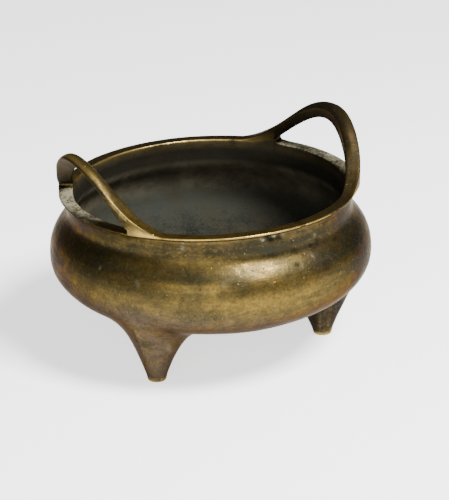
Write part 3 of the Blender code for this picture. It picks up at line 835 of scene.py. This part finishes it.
# Inside: soot, with ash low down, a browner band under the neck that is partly painted light lifting the
# shade of the overhang, and a black one at the neck.
soot_share = attribute("soot")
ash_share = sum_up(between(level, 0.050, 0.029), between(sum_up(mottles, grains), 0.80, 1.25), "MULTIPLY")
sooty = colours(ash_share, SOOT, ASH)
# Partly painted light: a lighter brown band on the inner wall under the neck, where the overhang shades it.
under_neck_light = sum_up(between(level, 0.046, 0.058), between(clouds, 0.38, 0.62, 0.55, 1.0), "MULTIPLY")
sooty = colours(under_neck_light, sooty, BROWN_SOOT_AND_LIGHT)
neck_patchy = between(sum_up(clouds, mottles), 1.20, 0.80, 0.90, 1.0)
neck_share = sum_up(between(level, 0.0665, 0.0715), neck_patchy, "MULTIPLY")
sooty = colours(neck_share, sooty, NECK_SOOT)
stains = between(sum_up(clouds, mottles), 1.15, 0.80, 0.0, 0.45)
sooty = colours(stains, sooty, DARK_BROWN)
patina = colours(soot_share, patina, sooty)

# Over both: the pale rough casting, bare rubbed edges, pale specks, pits and nicks.
raw_share = sum_up(attribute("raw"), between(sum_up(mottles, grains), 0.86, 1.10, 0.22, 1.0), "MULTIPLY")
patina = colours(raw_share, patina, RAW_CASTING)
rub_share = sum_up(attribute("rub"), between(sum_up(rubbing, mottles), 0.72, 1.15), "MULTIPLY", True)
patina = colours(rub_share, patina, BARE_BRASS)
specks = between(noise(own, 700.0, 3.0, 0.7), 0.655, 0.70)
specks = sum_up(specks, sum_up(1.0, soot_share, "SUBTRACT"), "MULTIPLY")
patina = colours(sum_up(specks, 0.35, "MULTIPLY"), patina, PALE_SPECK)
pit_share = sum_up(attribute("pit"), between(grains, 0.35, 0.6, 0.9, 1.9), "MULTIPLY", True)
patina = colours(pit_share, patina, PIT_BLACK)
mark_share = sum_up(attribute("mark"), between(grains, 0.40, 0.58, 0.35, 1.1), "MULTIPLY", True)
patina = colours(mark_share, patina, PALE_SPECK)
tree.links.new(patina, shader.inputs["Base Color"])

metal = between(sum_up(golden_and_highlight_share, rub_share), 0.0, 1.6, 0.80, 0.96)
metal = sum_up(metal, between(soot_share, 0.0, 1.0, 1.0, 0.1), "MULTIPLY")
metal = sum_up(metal, between(raw_share, 0.0, 0.6, 1.0, 0.1), "MULTIPLY")
tree.links.new(metal, shader.inputs["Metallic"])
gloss = sum_up(between(sum_up(mottles, rubbing), 0.7, 1.35, 0.44, 0.29), sum_up(soot_share, 0.42, "MULTIPLY"))
gloss = sum_up(gloss, sum_up(raw_share, 0.35, "MULTIPLY"), "ADD", True)
tree.links.new(gloss, shader.inputs["Roughness"])

relief = sum_up(sum_up(grains, 0.5, "MULTIPLY"), sum_up(rubbing, 0.35, "MULTIPLY"))
relief = sum_up(relief, sum_up(mottles, 0.6, "MULTIPLY"))
hollows = between(noise(own, 420.0, 2.0, 0.5), 0.30, 0.22, 0.0, -1.0)
relief = sum_up(relief, hollows)
relief = sum_up(relief, sum_up(sum_up(grains, 1.6, "MULTIPLY"), attribute("raw"), "MULTIPLY"))
bumps = add("ShaderNodeBump", {"Strength": 0.55, "Distance": 0.00022, "Height": relief})
tree.links.new(bumps.outputs["Normal"], shader.inputs["Normal"])
shader.inputs["Specular IOR Level"].default_value = 0.20
shader.inputs["Specular Tint"].default_value = (0.38, 0.33, 0.24, 1.0)
mesh.materials.append(bronze)
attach(casting, "root")
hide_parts("incense_burner")

# The table: a plain pale sheet that runs on out of sight, under a soft light high on the right and
# a larger, weaker one at the front left. The camera looks down on the burner from its front left.
TABLE_SIZE = 8.0
bpy.ops.mesh.primitive_plane_add(size=TABLE_SIZE, location=(0.0, 0.0, 0.0))
table = bpy.context.object
table.name = "pale_table"
paper = bpy.data.materials.new("pale_table")
paper.use_nodes = True
sheet = paper.node_tree.nodes["Principled BSDF"]
sheet.inputs["Base Color"].default_value = (0.86, 0.86, 0.86, 1.0)
sheet.inputs["Roughness"].default_value = 0.9
sheet.inputs["Emission Color"].default_value = (1.0, 1.0, 1.0, 1.0)
sheet.inputs["Emission Strength"].default_value = 1.5
table.data.materials.append(paper)

CAMERA_PLACE = Vector((-0.4104, -0.8230, 0.4322))
TURN_OF_VIEW = math.radians(-26.5)
yaw, pitch, roll = 0.0075, 0.3971, -0.0196
looking = Vector((math.sin(yaw) * math.cos(pitch), math.cos(yaw) * math.cos(pitch), -math.sin(pitch)))
right = Vector((math.cos(yaw), -math.sin(yaw), 0.0))
above = right.cross(looking)
right, above = (right * math.cos(roll) + above * math.sin(roll),
                above * math.cos(roll) - right * math.sin(roll))
turn_matrix = Matrix.Rotation(TURN_OF_VIEW, 3, "Z")
looking, right, above = (turn_matrix @ direction for direction in (looking, right, above))
lens = bpy.data.cameras.new("studio_camera")
lens.sensor_fit = "VERTICAL"
lens.sensor_height = 36.0
lens.lens = 144.0
camera = bpy.data.objects.new("studio_camera", lens)
axes = Matrix((right, above, -looking)).transposed()
camera.matrix_world = Matrix.Translation(CAMERA_PLACE) @ axes.to_4x4()
bpy.context.scene.collection.objects.link(camera)
bpy.context.scene.camera = camera


def soft_light(name, place, aim, width, height, power):
    """A rectangular area light at a place, facing a point."""
    data = bpy.data.lights.new(name, "AREA")
    data.shape = "RECTANGLE"
    data.size = width
    data.size_y = height
    data.energy = power
    lamp = bpy.data.objects.new(name, data)
    lamp.location = place
    lamp.rotation_euler = (Vector(aim) - Vector(place)).to_track_quat("-Z", "Y").to_euler()
    bpy.context.scene.collection.objects.link(lamp)


soft_light("window_right", (0.247, -0.612, 0.992), (0, 0, 0.05), 0.34, 0.34, 46.0)
soft_light("window_front", (-0.75, -0.98, 0.50), (0, 0, 0.05), 0.9, 0.7, 10.0)
world = bpy.data.worlds.new("studio")
world.use_nodes = True
world.node_tree.nodes["Background"].inputs["Color"].default_value = (1.0, 1.0, 1.0, 1.0)
world.node_tree.nodes["Background"].inputs["Strength"].default_value = 0.15
bpy.context.scene.world = world
